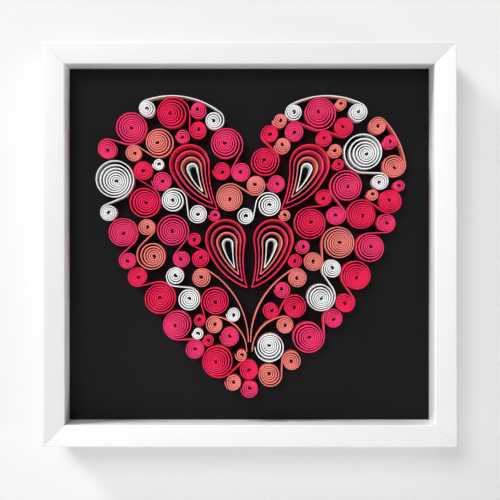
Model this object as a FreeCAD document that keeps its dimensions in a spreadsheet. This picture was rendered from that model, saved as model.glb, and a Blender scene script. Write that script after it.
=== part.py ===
import FreeCAD, Part
import Sketcher
import math
import os
from FreeCAD import Placement, Rotation, Vector

# Quilled paper heart in a deep white box frame.
# Origin under the middle of the bottom rail, +Z up, the picture looks towards -Y.
# The paper strips stand on edge on the card. Each strip is one solid with its rolled ends.

SIZES = [
    ("frame_width", 255.5, "outer width of the box frame"),
    ("frame_height", 250, "outer height of the box frame"),
    ("frame_depth", 34, "front to back"),
    ("rail_face", 13.5, "width of a rail seen from the front"),
    ("rebate", 6, "how far the rails overlap the card"),
    ("recess", 16, "front of the rails to the card"),
    ("rail_round", 0.8, "rounding of the rails' front edges"),
    ("card_thickness", 1.5, "black backing card"),
    ("panel_thickness", 3, "back panel"),
    ("panel_clearance", 0.3, "card and panel to the rebate's walls"),
    ("tab_width", 9, "retaining tab"),
    ("tab_length", 17, "retaining tab, its root in the slot included"),
    ("tab_thickness", 0.6, "retaining tab"),
    ("tab_root", 4.5, "part of a tab that sits in its slot"),
    ("tab_spread", 62, "a tab from the middle of its rail"),
    ("slot_clearance", 0.1, "tab to its slot, all round"),
    ("hanger_length", 44, "sawtooth hanger"),
    ("hanger_width", 8, "sawtooth hanger"),
    ("hanger_thickness", 0.8, "sawtooth hanger"),
    ("hanger_rise", 2.2, "panel to the toothed bridge of the hanger"),
    ("hanger_foot", 8, "flat foot at each end of the hanger"),
    ("hanger_drop", 42, "middle of the hanger below the frame's top"),
    ("tooth_pitch", 2.5, "hanger teeth"),
    ("tooth_depth", 1.6, "hanger teeth"),
    ("nail_shank", 1.3, "diameter"),
    ("nail_head", 3.2, "diameter"),
    ("nail_head_thickness", 0.7, "hanger nail"),
    ("nail_length", 3, "hanger nail under its head"),
    ("nail_clearance", 0.1, "nail to its hole in the hanger, across"),
    ("strip_height", 10, "how far the paper strips stand off the card"),
    ("paper", 0.4, "thickness of a strip"),
    ("strip_clearance", 0.2, "a strip to its neighbour"),
    ("coil_opening_share", 0.12, "of a loose coil's radius, lost in each half turn"),
    ("coil_turns", 1.5, "loose turns outside a coil's rolled core"),
    ("coil_eye", 0.9, "radius of the eye in a rolled core"),
    ("scroll_neck", 2.6, "gap between the two coils of a scroll"),
    ("heart_drop", 96, "the heart's tip below the frame's middle"),
    ("lobe_radius", 49.5, "round top of each half of the heart"),
    ("lobe_offset", 48.5, "lobe's centre from the middle line"),
    ("lobe_rise", 139.5, "lobe's centre above the heart's tip"),
    ("side_radius", 200, "long side of the heart"),
    ("tip_radius", 16, "rounded tip"),
    ("widest_coil", 13, "radius over the outer turn; white ones only"),
    ("large_coil", 10.5, "radius over the outer turn"),
    ("broad_coil", 9.5, "radius over the outer turn"),
    ("medium_coil", 7.5, "radius over the outer turn"),
    ("small_coil", 6.2, "radius over the outer turn"),
    ("slim_coil", 5.5, "radius over the outer turn"),
    ("tiny_coil", 4.6, "radius over the outer turn"),
    ("bead_coil", 3.8, "radius over the outer turn"),
    ("middle_fan_rise", 69, "foot of the fans above the heart's tip"),
    ("middle_fan_split", 1.6, "foot of a fan from the middle line"),
    ("lobe_fan_rise", 118, "foot of the fans above the heart's tip"),
    ("lobe_fan_split", 20, "foot of a fan from the middle line"),
    ("fan_drop_count", 4, "drops nested in each fan"),
    ("fan_length", 33, "tip of the outer drop to the centre of its head"),
    ("fan_head", 12.3, "radius of the outer drop's head"),
    ("fan_step", 3, "what the next drop's head is smaller"),
    ("fan_tip", 4.8, "what the next drop's tip is further in"),
    ("fan_back", 1.1, "what the centre of the next drop's head is further back"),
    ("drop_back_radius", 40, "bend of a drop's round side"),
    ("drop_belly_radius", 60, "bend of a drop's hollow side"),
    ("outer_stem_split", 0.7, "foot of the stem from the middle line"),
    ("outer_stem_rise", 35, "foot of the stem above the heart's tip"),
    ("outer_stem_bend", 52, "radius"),
    ("inner_stem_split", 1.7, "foot of the stem from the middle line"),
    ("inner_stem_rise", 29, "foot of the stem above the heart's tip"),
    ("inner_stem_bend", 22, "radius"),
]

document = FreeCAD.newDocument("QuilledHeart")
sheet = document.addObject("Spreadsheet::Sheet", "Sizes")
for row, (alias, value, note) in enumerate(SIZES, start=1):
    sheet.set(f"A{row}", note)
    sheet.set(f"B{row}", str(value))
    sheet.setAlias(f"B{row}", alias)
document.recompute()


def size(alias):
    return float(sheet.get(alias))


HALF_PAPER = size("paper") / 2
CARD_FRONT = size("recess") - size("frame_depth") / 2
HEART_TIP = size("frame_height") / 2 - size("heart_drop")
TOUCH = 0.001
NECK_SHARES = (0, 0.25, 0.5, 0.75, 1)

# Fans of nested comma drops, one of each on each side of the middle: name, lean outwards in degrees
FANS = [("middle", 24), ("lobe", 32)]
FAN_COLOURS = ("pink", "rose", "coral", "white")
FAN_TURN = math.radians(8)
FILL_SHARES = (1, 0.75, 0.5, 0.25)

# Coils are named by their sizes in the sheet: S-scrolls from the edge inwards, over and over
SCROLLS = [("large", "small"), ("broad", "slim"), ("medium", "small"), ("large", "small"),
           ("small", "broad"), ("broad", "small"), ("medium", "broad"), ("large", "slim"),
           ("large", "small"), ("widest", "slim"), ("broad", "slim"), ("small", "large"),
           ("broad", "small"), ("large", "small")]
FILLERS = ("slim", "tiny", "bead")
SHRINK = (1, 0.85, 0.7, 0.55)

# Stems: name, sweep in degrees, coil at the end
STEMS = [("outer", 60, "small"), ("inner", 84, "slim")]

# C-scrolls in the lobes: side, name, colour, ends in degrees from the top outwards, coils at these ends
ARCHES = [
    (-1, "left", "white", -38, 20, "small", "slim"),
    (1, "right", "white", -28, 26, "slim", "small"),
    (1, "right_shoulder", "coral", 46, 82, "slim", "medium"),
]

# Colours: a coil takes the one whose like coils are furthest off, times its share
SHARES = {"rose": 1, "pink": 1, "coral": 0.85, "white": 0.55}

# The largest scrolls are nodes of their own; the smaller strips share a node for each colour.
SEPARATE_SCROLLS = 23

# Places in the frame that more than one body is cut to
PANEL_FRONT = "Sizes.recess - Sizes.frame_depth / 2 + Sizes.card_thickness"
PANEL_BACK = f"{PANEL_FRONT} + Sizes.panel_thickness"
REBATE_WALL = "Sizes.rail_face - Sizes.rebate"
NAIL_X = "(Sizes.hanger_length - Sizes.hanger_foot) / 2"
NAIL_Z = "Sizes.frame_height - Sizes.hanger_drop"
NAIL_SPOTS = [(f"-{NAIL_X}", NAIL_Z), (NAIL_X, NAIL_Z)]
NAIL_HOLE = "Sizes.nail_shank + Sizes.nail_clearance"


# Plane geometry of the quilling. Points are (x, z), x from the middle line and z from the heart's tip.
def polar(centre, radius, angle):
    return (centre[0] + radius * math.cos(angle), centre[1] + radius * math.sin(angle))


def distance(a, b):
    return math.hypot(a[0] - b[0], a[1] - b[1])


def heading(a, b):
    return math.atan2(b[1] - a[1], b[0] - a[0])


def short_turn(start, end):
    """the end angle, counted so that the turn from the start is under half a circle"""
    return start + (end - start + math.pi) % (2 * math.pi) - math.pi


def meet(a, reach_a, b, reach_b):
    """points at reach_a from a and reach_b from b, the one left of the way from a to b first"""
    apart = distance(a, b)
    if not abs(reach_a - reach_b) < apart < reach_a + reach_b:
        return []
    along = (apart ** 2 + reach_a ** 2 - reach_b ** 2) / (2 * apart)
    aside = math.acos(max(-1, min(along / reach_a, 1)))
    return [polar(a, reach_a, heading(a, b) + aside), polar(a, reach_a, heading(a, b) - aside)]


def line_distance(point, start, end):
    run = (end[0] - start[0], end[1] - start[1])
    share = ((point[0] - start[0]) * run[0] + (point[1] - start[1]) * run[1]) / (run[0] ** 2 + run[1] ** 2)
    share = min(max(share, 0), 1)
    return distance(point, (start[0] + share * run[0], start[1] + share * run[1]))


def arc_distance(point, centre, radius, start, end):
    if (heading(centre, point) - min(start, end)) % (2 * math.pi) <= abs(end - start):
        return abs(distance(point, centre) - radius)
    return min(distance(point, polar(centre, radius, angle)) for angle in (start, end))


class Strip:
    """one strip: arcs (centre, radius, from, to) and lines (start, end) of its middle line, the coils
    (centre, radius, start angle, spin) that it is rolled into, and its free ends (point, angle across)"""

    def __init__(self, colour, name="", arcs=(), lines=(), coils=(), free=()):
        self.colour, self.name = colour, name
        self.arcs, self.lines, self.coils, self.free = arcs, lines, coils, free

    def bulk(self):
        return max(coil[1] for coil in self.coils)


class Heart:
    """the heart's edge and what is laid inside it so far; a coil is (x, z, radius over its outer turn)"""

    def __init__(self):
        tip_radius, side_radius, lobe_radius = size("tip_radius"), size("side_radius"), size("lobe_radius")
        lobe, tip = (size("lobe_offset"), size("lobe_rise")), (0, tip_radius)
        side = meet(tip, side_radius - tip_radius, lobe, side_radius - lobe_radius)[0]
        tip_end, side_end = heading(side, tip), heading(side, lobe)
        lobe_end = math.pi - math.acos(lobe[0] / lobe_radius)
        self.lobe, self.lobe_radius = lobe, lobe_radius
        self.cleft = polar(lobe, lobe_radius, lobe_end)
        self.edge = [(tip, tip_radius, -math.pi / 2, tip_end), (side, side_radius, tip_end, side_end),
                     (lobe, lobe_radius, side_end, lobe_end)]
        self.coils, self.lines, self.arcs, self.strips = [], [], [], []

    def colour_for(self, coil):
        """the colour that is scarcest around a coil"""
        def scarcity(colour):
            like = [distance(coil, other[0]) for strip in self.strips for other in strip.coils
                    if strip.colour == colour]
            return SHARES[colour] * min(like + [self.lobe_radius])
        return "white" if coil[2] > size("large_coil") else max(SHARES, key=scarcity)

    def room(self, point):
        """from a point to the heart's edge, below zero outside it; both halves are alike"""
        point = (abs(point[0]), point[1])
        found = [distance(point, self.cleft)]
        for centre, radius, start, end in self.edge:
            if start <= heading(centre, point) <= end:
                found.append(radius - distance(point, centre))
        return min(found)

    def clear(self, point, radius, beside):
        gap = size("strip_clearance") - TOUCH
        if self.room(point) < radius - TOUCH:
            return False
        if any(coil != beside and distance(point, coil) < radius + coil[2] + gap for coil in self.coils):
            return False
        return self.strip_distance(point) > radius + HALF_PAPER + gap

    def strip_distance(self, point):
        """to the middle line of the nearest neck, stem or arch"""
        lines = [line_distance(point, *line) for line in self.lines]
        return min(lines + [arc_distance(point, *arc) for arc in self.arcs])

    def spots(self, radius, first, gap):
        """where a coil fits that lies beside the first coil and touches one more coil or the edge"""
        reach = first[2] + radius + gap
        rims = [((sign * centre[0], centre[1]), rim - radius) for centre, rim, _, _ in self.edge
                for sign in (1, -1)]
        rims += [(coil, coil[2] + radius + size("strip_clearance")) for coil in self.coils
                 if coil != first and distance(coil, first) < coil[2] + 2 * radius + reach]
        beside = radius + HALF_PAPER + size("strip_clearance")
        rims += [(arc[0], arc[1] + side * beside) for arc in self.arcs for side in (1, -1)]
        found = [point for centre, rim in rims for point in meet(first, reach, centre, rim)]
        return [point + (radius,) for point in found if self.clear(point, radius, first)]

    def neck_room(self, one, other, spin):
        """free space beside the straight stretch between two coils of a scroll"""
        (start, end), _ = neck(one, other, spin)
        taken = HALF_PAPER + size("strip_clearance")
        coils = [line_distance(coil, start, end) - coil[2] for coil in self.coils
                 if coil not in (one, other)]
        points = [(start[0] + share * (end[0] - start[0]), start[1] + share * (end[1] - start[1]))
                  for share in NECK_SHARES]
        strips = [self.strip_distance(point) - HALF_PAPER for point in points]
        corners = [line_distance(point, start, end) - HALF_PAPER for line in self.lines for point in line]
        return min(coils + strips + corners) - taken

    def outermost(self, radius, firsts, gap, necked=False):
        """the free spot nearest the edge beside one of the coils"""
        found = [(round(self.room(coil), 3), coil)
                 for first in firsts for coil in self.spots(radius, first, gap)
                 if not necked or max(self.neck_room(first, coil, spin) for spin in (1, -1)) > 0]
        return min(found)[1] if found else None

    def lay_scroll(self, one, other):
        """an S-scroll: the strip runs from one coil to the other by a straight neck"""
        spin = max((1, -1), key=lambda way: self.neck_room(one, other, way))
        line, leave = neck(one, other, spin)
        coils = [(one, one[2] - HALF_PAPER, leave, spin),
                 (other, other[2] - HALF_PAPER, leave + math.pi, spin)]
        self.coils.append(other)
        self.lines.append(line)
        self.strips.append(Strip(self.colour_for(one), lines=[line], coils=coils))

    def lay_single(self, coil, name=""):
        """a coil of its own, whose outer end lies on its left"""
        radius = coil[2] - HALF_PAPER
        end = polar(coil, radius, math.pi)
        self.strips.append(Strip(self.colour_for(coil), name, coils=[(coil, radius, math.pi, 1)],
                                 free=[(end, math.pi)]))


def neck(one, other, spin):
    """middle line of the neck between two coils that are rolled the same way, and its angle on the first"""
    lean = math.acos((one[2] + other[2] - size("paper")) / distance(one, other))
    leave = heading(one, other) + spin * lean
    start = polar(one, one[2] - HALF_PAPER, leave)
    return (start, polar(other, other[2] - HALF_PAPER, leave + math.pi)), leave


def lay_fans(heart):
    """mirrored fans of nested comma drops; a drop is (colour, name, foot, head, head radius, side)"""
    drops = []
    for fan, degrees in FANS:
        for side, word in ((1, "right"), (-1, "left")):
            base = (side * size(f"{fan}_fan_split"), size(f"{fan}_fan_rise"))
            lean = math.pi / 2 - side * math.radians(degrees)
            for index in range(int(size("fan_drop_count"))):
                foot = polar(base, index * size("fan_tip"), lean - side * FAN_TURN)
                head = polar(base, size("fan_length") - index * size("fan_back"), lean)
                radius = size("fan_head") - index * size("fan_step")
                colour = FAN_COLOURS[index % len(FAN_COLOURS)]
                drops.append((colour, f"{fan}_{word}_{index + 1}", foot, head, radius, side))
                if index == 0:
                    keep_free(heart, foot, head, radius, side)
    return drops


def keep_free(heart, foot, head, radius, side):
    """the two sides of a fan's outer drop, and rounds that fill it"""
    bends = (size("drop_back_radius"), size("drop_belly_radius"))
    for centre, bend in zip(drop_sides(foot, head, radius, side), bends):
        start = heading(centre, foot)
        heart.arcs.append((centre, bend, start, short_turn(start, heading(centre, head))))
    for share in FILL_SHARES:
        along = share * distance(foot, head)
        heart.coils.append(polar(foot, along, heading(foot, head)) + (share * (radius + HALF_PAPER),))


def drop_sides(foot, head, radius, side):
    """centres of a drop's round back and of its hollow belly"""
    way = 0 if side > 0 else 1
    back_radius, belly_radius = size("drop_back_radius"), size("drop_belly_radius")
    back = meet(foot, back_radius, head, back_radius - radius)[way]
    belly = meet(foot, belly_radius, head, belly_radius + radius)[way]
    return back, belly


def lay_stems(heart):
    for side, word in ((1, "right"), (-1, "left")):
        for name, sweep, coil_name in STEMS:
            bend, coil = size(f"{name}_stem_bend"), size(f"{coil_name}_coil")
            centre = (side * (size(f"{name}_stem_split") + bend), size(f"{name}_stem_rise"))
            start = math.pi / 2 + side * math.pi / 2
            end = start - side * math.radians(sweep)
            bud = polar(centre, bend + HALF_PAPER - coil, end) + (coil,)
            heart.coils.append(bud)
            heart.arcs.append((centre, bend, start, end))
            heart.strips.append(Strip("coral", f"{name}_stem_{word}", arcs=[(centre, bend, start, end)],
                                      coils=[(bud, coil - HALF_PAPER, end, -side)],
                                      free=[(polar(centre, bend, start), start)]))


def lay_arches(heart):
    """C-scrolls along the tops of the lobes"""
    radius = heart.lobe_radius - HALF_PAPER
    for side, name, colour, start, end, first, second in ARCHES:
        centre = (side * heart.lobe[0], heart.lobe[1])
        turns = [math.pi / 2 - side * math.radians(angle) for angle in (start, end)]
        coils = []
        for turn, coil, spin in zip(turns, (size(f"{first}_coil"), size(f"{second}_coil")), (side, -side)):
            bud = polar(centre, heart.lobe_radius - coil, turn) + (coil,)
            heart.coils.append(bud)
            coils.append((bud, coil - HALF_PAPER, turn, spin))
        heart.arcs.append((centre, radius, *turns))
        heart.strips.append(Strip(colour, f"arch_{name}", arcs=[(centre, radius, *turns)], coils=coils))


def lay_fill(heart):
    """a coil in the tip, S-scrolls from the edge inwards, then small coils in the gaps between them"""
    low, high = 0, heart.cleft[1] / 2
    while high - low > TOUCH:
        middle = (low + high) / 2
        fits = heart.room((0, middle)) > size("slim_coil")
        low, high = (low, middle) if fits else (middle, high)
    heart.coils.append((0, high, size("slim_coil")))
    heart.lay_single(heart.coils[-1], "tip_coil")
    one = True
    while one:
        first, second = (size(f"{name}_coil") for name in SCROLLS[len(heart.strips) % len(SCROLLS)])
        one = fit_coil(heart, first, heart.coils, size("strip_clearance"))
        if one:
            heart.coils.append(one)
            other = fit_coil(heart, second, [one], size("scroll_neck"), necked=True)
            if other:
                heart.lay_scroll(one, other)
            else:
                heart.lay_single(one)
    for name in FILLERS:
        radius = size(f"{name}_coil")
        coil = heart.outermost(radius, heart.coils, size("strip_clearance"))
        while coil:
            heart.coils.append(coil)
            heart.lay_single(coil)
            coil = heart.outermost(radius, heart.coils, size("strip_clearance"))


def fit_coil(heart, radius, firsts, gap, necked=False):
    """the outermost place for a coil, made smaller where it doesn't fit whole"""
    for share in SHRINK:
        coil = heart.outermost(radius * share, firsts, gap, necked)
        if coil:
            return coil
    return None


# Solids of the paper strips
def vector(point):
    return Vector(point[0], CARD_FRONT, point[1] + HEART_TIP)


def arc_edge(centre, radius, start, end):
    middle = (start + end) / 2
    return Part.Arc(*[vector(polar(centre, radius, angle)) for angle in (start, middle, end)]).toShape()


def line_edge(start, end):
    return Part.LineSegment(vector(start), vector(end)).toShape()


def circle_wire(centre, radius):
    return Part.Wire(Part.Circle(vector(centre), Vector(0, -1, 0), radius).toShape())


def coil_edges(centre, radius, start, spin):
    """both faces of a coil's half turns, from its outside in, the round of its rolled core, and its eye"""
    drop = max(size("coil_opening_share") * radius, size("paper"))
    half_turns = int(2 * size("coil_turns"))
    edges = []
    for turn in range(half_turns):
        end = start + spin * math.pi
        next_radius = radius - drop
        last = turn + 1 == half_turns or next_radius - drop < size("coil_eye") + size("paper")
        edges.append(arc_edge(centre, radius + HALF_PAPER, start, end))
        core = next_radius + HALF_PAPER
        inner = radius - HALF_PAPER
        if last:
            crotch = math.acos((inner ** 2 + drop ** 2 - core ** 2) / (2 * inner * drop))
            edges.append(arc_edge(centre, inner, start, end - spin * crotch))
            crotch = math.pi - math.acos((core ** 2 + drop ** 2 - inner ** 2) / (2 * core * drop))
        else:
            edges.append(arc_edge(centre, inner, start, end))
        centre = polar(centre, drop, end)
        radius, start = next_radius, end
        if last:
            edges.append(arc_edge(centre, core, end, end + spin * (2 * math.pi - crotch)))
            break
    return edges, circle_wire(centre, size("coil_eye"))


def strip_face(strip):
    edges, eyes = [], []
    for centre, radius, start, end in strip.arcs:
        edges += [arc_edge(centre, radius + offset, start, end) for offset in (HALF_PAPER, -HALF_PAPER)]
    for start, end in strip.lines:
        across = heading(start, end) + math.pi / 2
        edges += [line_edge(polar(start, offset, across), polar(end, offset, across))
                  for offset in (HALF_PAPER, -HALF_PAPER)]
    for point, across in strip.free:
        edges.append(line_edge(polar(point, HALF_PAPER, across), polar(point, -HALF_PAPER, across)))
    for coil in strip.coils:
        outline, eye = coil_edges(*coil)
        edges += outline
        eyes.append(eye)
    return Part.Face([Part.Wire(Part.__sortEdges__(edges))] + eyes, "Part::FaceMakerBullseye")


def drop_face(foot, head, radius, side):
    """a closed drop: the strip's ends meet in a point at the foot"""
    back, belly = drop_sides(foot, head, radius, side)
    back_radius, belly_radius = size("drop_back_radius"), size("drop_belly_radius")
    back_end = heading(back, head)
    belly_end = heading(belly, head)
    wires = []
    for offset in (HALF_PAPER, -HALF_PAPER):
        corners = meet(back, back_radius + offset, belly, belly_radius - offset)
        corner = min(corners, key=lambda point: distance(point, foot))
        over = back_end + side * ((side * (belly_end + math.pi - back_end)) % (2 * math.pi))
        back_start = short_turn(back_end, heading(back, corner))
        belly_start = short_turn(belly_end, heading(belly, corner))
        edges = [arc_edge(back, back_radius + offset, back_start, back_end),
                 arc_edge(head, radius + offset, back_end, over),
                 arc_edge(belly, belly_radius - offset, belly_start, belly_end)]
        wires.append(Part.Wire(Part.__sortEdges__(edges)))
    return Part.Face(wires, "Part::FaceMakerBullseye")


# Bodies of the frame and what it holds
def outline(sketch, points):
    """a closed outline whose corners are bound to the sheet; the first shape only spreads the corners"""
    count = len(points)
    corners = [Vector(math.cos(2 * math.pi * i / count), math.sin(2 * math.pi * i / count), 0)
               for i in range(count)]
    first = sketch.GeometryCount
    for index in range(count):
        sketch.addGeometry(Part.LineSegment(corners[index], corners[(index + 1) % count]))
    for index, point in enumerate(points):
        line, next_line = first + index, first + (index + 1) % count
        sketch.addConstraint(Sketcher.Constraint("Coincident", line, 2, next_line, 1))
        for kind, expression in zip(("DistanceX", "DistanceY"), point):
            number = sketch.addConstraint(Sketcher.Constraint(kind, -1, 1, line, 1, 1))
            sketch.setExpression(f"Constraints[{number}]", expression)


def add_sketch(body, name, plane, offset="0"):
    sketch = body.newObject("Sketcher::SketchObject", name)
    sketch.AttachmentSupport = [next(f for f in body.Origin.OriginFeatures if f.Role == plane)]
    sketch.MapMode = "FlatFace"
    sketch.setExpression("AttachmentOffset.Base.z", offset)
    return sketch


def add_body(label):
    body = document.addObject("PartDesign::Body", label)
    body.Label = label
    return body


def cut_through(body, sketch):
    pocket = body.newObject("PartDesign::Pocket", sketch.Name + "_cut")
    pocket.Profile = sketch
    pocket.Type = "ThroughAll"
    pocket.SideType = "Symmetric"
    return pocket


def make_rail(label, length, placement):
    """a mitred rail along X with its outer side down, rebated behind for the card"""
    body = add_body(label)
    profile = add_sketch(body, f"{label}_profile", "YZ_Plane")
    front, back = "-Sizes.frame_depth / 2", "Sizes.frame_depth / 2"
    shoulder = "Sizes.recess - Sizes.frame_depth / 2"
    outline(profile, [(front, "0"), (back, "0"), (back, REBATE_WALL), (shoulder, REBATE_WALL),
                      (shoulder, "Sizes.rail_face"), (front, "Sizes.rail_face")])
    pad = body.newObject("PartDesign::Pad", f"{label}_bar")
    pad.Profile = profile
    pad.SideType = "Symmetric"
    pad.setExpression("Length", length)
    document.recompute()
    front_edges = [f"Edge{i}" for i, edge in enumerate(pad.Shape.Edges, start=1)
                   if all(abs(v.Y + size("frame_depth") / 2) < TOUCH for v in edge.Vertexes)
                   and abs(edge.Vertexes[0].X - edge.Vertexes[1].X) > 1]
    rounding = body.newObject("PartDesign::Fillet", f"{label}_round")
    rounding.Base = (pad, front_edges)
    rounding.setExpression("Radius", "Sizes.rail_round")
    mitres = add_sketch(body, f"{label}_mitres", "XZ_Plane")
    for sign in ("", "-"):
        end = f"{sign}({length}) / 2"
        inner = f"{sign}(({length}) / 2 - Sizes.rail_face)"
        outline(mitres, [(end, "0"), (inner, "Sizes.rail_face"), (end, "Sizes.rail_face")])
    cut_through(body, mitres)
    slots = add_sketch(body, f"{label}_slots", "XY_Plane", REBATE_WALL)
    for sign in ("", "-"):
        outer = f"{sign}(Sizes.tab_spread + Sizes.tab_width / 2 + Sizes.slot_clearance)"
        inner = f"{sign}(Sizes.tab_spread - Sizes.tab_width / 2 - Sizes.slot_clearance)"
        rear = f"{PANEL_BACK} + Sizes.tab_thickness + Sizes.slot_clearance"
        near = f"{PANEL_BACK} - Sizes.slot_clearance"
        outline(slots, [(inner, near), (outer, near), (outer, rear), (inner, rear)])
    pocket = body.newObject("PartDesign::Pocket", f"{label}_slot_cut")
    pocket.Profile = slots
    pocket.setExpression("Length", "Sizes.tab_root + Sizes.slot_clearance")
    body.Placement = placement
    return body


def add_circles(sketch, spots, diameter):
    """round outlines bound to the sheet"""
    for x, y in spots:
        circle = sketch.addGeometry(Part.Circle(Vector(0, 0, 0), Vector(0, 0, 1), 1))
        for kind, expression in (("DistanceX", x), ("DistanceY", y)):
            number = sketch.addConstraint(Sketcher.Constraint(kind, -1, 1, circle, 3, 1))
            sketch.setExpression(f"Constraints[{number}]", expression)
        number = sketch.addConstraint(Sketcher.Constraint("Diameter", circle, 2))
        sketch.setExpression(f"Constraints[{number}]", diameter)


def make_sheet(label, front, thickness):
    """the card or the panel, cut to fit the rebate"""
    body = add_body(label)
    sketch = add_sketch(body, f"{label}_outline", "XZ_Plane", f"-({front})")
    side = f"Sizes.frame_width / 2 - ({REBATE_WALL}) - Sizes.panel_clearance"
    low = f"{REBATE_WALL} + Sizes.panel_clearance"
    high = f"Sizes.frame_height - ({low})"
    outline(sketch, [(f"-({side})", low), (side, low), (side, high), (f"-({side})", high)])
    pad = body.newObject("PartDesign::Pad", f"{label}_sheet")
    pad.Profile = sketch
    pad.Reversed = True
    pad.setExpression("Length", thickness)
    return body


def make_panel():
    body = make_sheet("back_panel", PANEL_FRONT, "Sizes.panel_thickness")
    holes = add_sketch(body, "panel_nail_holes", "XZ_Plane", f"-({PANEL_BACK})")
    add_circles(holes, NAIL_SPOTS, NAIL_HOLE)
    pocket = body.newObject("PartDesign::Pocket", "panel_nail_hole_cut")
    pocket.Profile = holes
    pocket.Reversed = True
    pocket.setExpression("Length", "Sizes.nail_length - Sizes.hanger_thickness + Sizes.nail_clearance")
    return body


def make_hanger():
    """a steel strip with two feet on the panel and a raised bridge with teeth along its lower edge"""
    body = add_body("sawtooth_hanger")
    profile = add_sketch(body, "hanger_profile", "XY_Plane", f"{NAIL_Z} - Sizes.hanger_width / 2")
    end = "Sizes.hanger_length / 2"
    knee = f"{end} - Sizes.hanger_foot"
    bridge = f"{knee} - Sizes.hanger_rise"
    foot_back = f"{PANEL_BACK} + Sizes.hanger_thickness"
    under = f"{PANEL_BACK} + Sizes.hanger_rise"
    bridge_back = f"{under} + Sizes.hanger_thickness"
    back_side = [(end, foot_back), (knee, foot_back), (bridge, bridge_back)]
    front_side = [(bridge, under), (knee, PANEL_BACK), (end, PANEL_BACK)]
    mirrored = [(f"-({x})", y) for x, y in back_side + front_side]
    outline(profile, back_side + mirrored[2::-1] + mirrored[:2:-1] + front_side)
    pad = body.newObject("PartDesign::Pad", "hanger_strip")
    pad.Profile = profile
    pad.setExpression("Length", "Sizes.hanger_width")
    tooth = add_sketch(body, "hanger_tooth", "XZ_Plane")
    count = f"floor(2 * ({bridge}) / Sizes.tooth_pitch)"
    low = f"{NAIL_Z} - Sizes.hanger_width / 2"
    start = f"-({count}) * Sizes.tooth_pitch / 2"
    outline(tooth, [(start, low), (f"{start} + Sizes.tooth_pitch", low),
                    (f"{start} + Sizes.tooth_pitch / 2", f"{low} + Sizes.tooth_depth")])
    notch = cut_through(body, tooth)
    row = body.newObject("PartDesign::LinearPattern", "hanger_teeth")
    row.Originals = [notch]
    row.Direction = (next(f for f in body.Origin.OriginFeatures if f.Role == "X_Axis"), [""])
    row.Mode = "Spacing"
    row.setExpression("Offset", "Sizes.tooth_pitch")
    row.setExpression("Occurrences", count)
    body.Tip = row
    holes = add_sketch(body, "hanger_nail_holes", "XZ_Plane")
    add_circles(holes, NAIL_SPOTS, NAIL_HOLE)
    cut_through(body, holes)
    return body


def add_primitive(kind, name, placement, **sizes):
    item = document.addObject(f"Part::{kind}", name)
    for key, expression in sizes.items():
        item.setExpression(key, expression)
    item.Placement = placement
    return item


def join(kind, label, parts):
    item = document.addObject(f"Part::{kind}", label)
    item.Label = label
    if kind == "Compound":
        item.Links = parts
    else:
        item.Shapes = parts
    return item


def make_nails():
    nails = []
    foot_back = CARD_FRONT + size("card_thickness") + size("panel_thickness") + size("hanger_thickness")
    across = (size("hanger_length") - size("hanger_foot")) / 2
    for word, x in (("left", -across), ("right", across)):
        spot = Vector(x, foot_back, size("frame_height") - size("hanger_drop"))
        backwards = Rotation(Vector(1, 0, 0), -90)
        forwards = Rotation(Vector(1, 0, 0), 90)
        shank = add_primitive("Cylinder", f"shank_{word}", Placement(spot, forwards),
                              Radius="Sizes.nail_shank / 2", Height="Sizes.nail_length")
        head = add_primitive("Cylinder", f"head_{word}", Placement(spot, backwards),
                             Radius="Sizes.nail_head / 2", Height="Sizes.nail_head_thickness")
        nails.append(join("MultiFuse", f"nail_{word}", [shank, head]))
    return join("Compound", "hanger_nails", nails)


def make_tabs(rail_placements):
    """steel tabs that lie on the panel's back, each with its root in a slot in the rail"""
    tabs = []
    panel_back = CARD_FRONT + size("card_thickness") + size("panel_thickness")
    root = size("rail_face") - size("rebate") - size("tab_root")
    straight = size("tab_length") - size("tab_width") / 2
    for number, rail in enumerate(rail_placements, start=1):
        for word, sign in (("a", -1), ("b", 1)):
            middle = sign * size("tab_spread")
            corner = Placement(Vector(middle - size("tab_width") / 2, panel_back, root), Rotation())
            nose = Placement(Vector(middle, panel_back, root + straight), Rotation(Vector(1, 0, 0), -90))
            blade = add_primitive("Box", f"blade_{number}{word}", rail.multiply(corner),
                                  Length="Sizes.tab_width", Width="Sizes.tab_thickness",
                                  Height="Sizes.tab_length - Sizes.tab_width / 2")
            round_end = add_primitive("Cylinder", f"nose_{number}{word}", rail.multiply(nose),
                                      Radius="Sizes.tab_width / 2", Height="Sizes.tab_thickness")
            tabs.append(join("MultiFuse", f"tab_{number}{word}", [blade, round_end]))
    return join("Compound", "retaining_tabs", tabs)


def stand_up(face, label):
    """raises a strip's outline from the card by the height of the paper"""
    flat = document.addObject("Part::Feature", f"{label}_edge")
    flat.Shape = face
    strip = document.addObject("Part::Extrusion", label)
    strip.Label = label
    strip.Base = flat
    strip.DirMode = "Custom"
    strip.Dir = Vector(0, -1, 0)
    strip.Solid = True
    strip.setExpression("LengthFwd", "Sizes.strip_height")
    return strip


def make_strips():
    heart = Heart()
    drops = lay_fans(heart)
    lay_stems(heart)
    lay_arches(heart)
    lay_fill(heart)
    nodes = [stand_up(drop_face(*shape), f"{colour}_drop_{name}") for colour, name, *shape in drops]
    unnamed = [strip for strip in heart.strips if not strip.name]
    largest = sorted(unnamed, key=Strip.bulk, reverse=True)[:SEPARATE_SCROLLS]
    for number, strip in enumerate(largest, start=1):
        strip.name = f"scroll_{number:02d}"
    nodes += [stand_up(strip_face(strip), f"{strip.colour}_{strip.name}")
              for strip in heart.strips if strip.name]
    for colour in FAN_COLOURS:
        small = [strip for strip in heart.strips if strip.colour == colour and not strip.name]
        if small:
            coils = [stand_up(strip_face(strip), f"small_{colour}_{number}")
                     for number, strip in enumerate(small, start=1)]
            nodes.append(join("Compound", f"small_{colour}_coils", coils))
    return nodes


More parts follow.
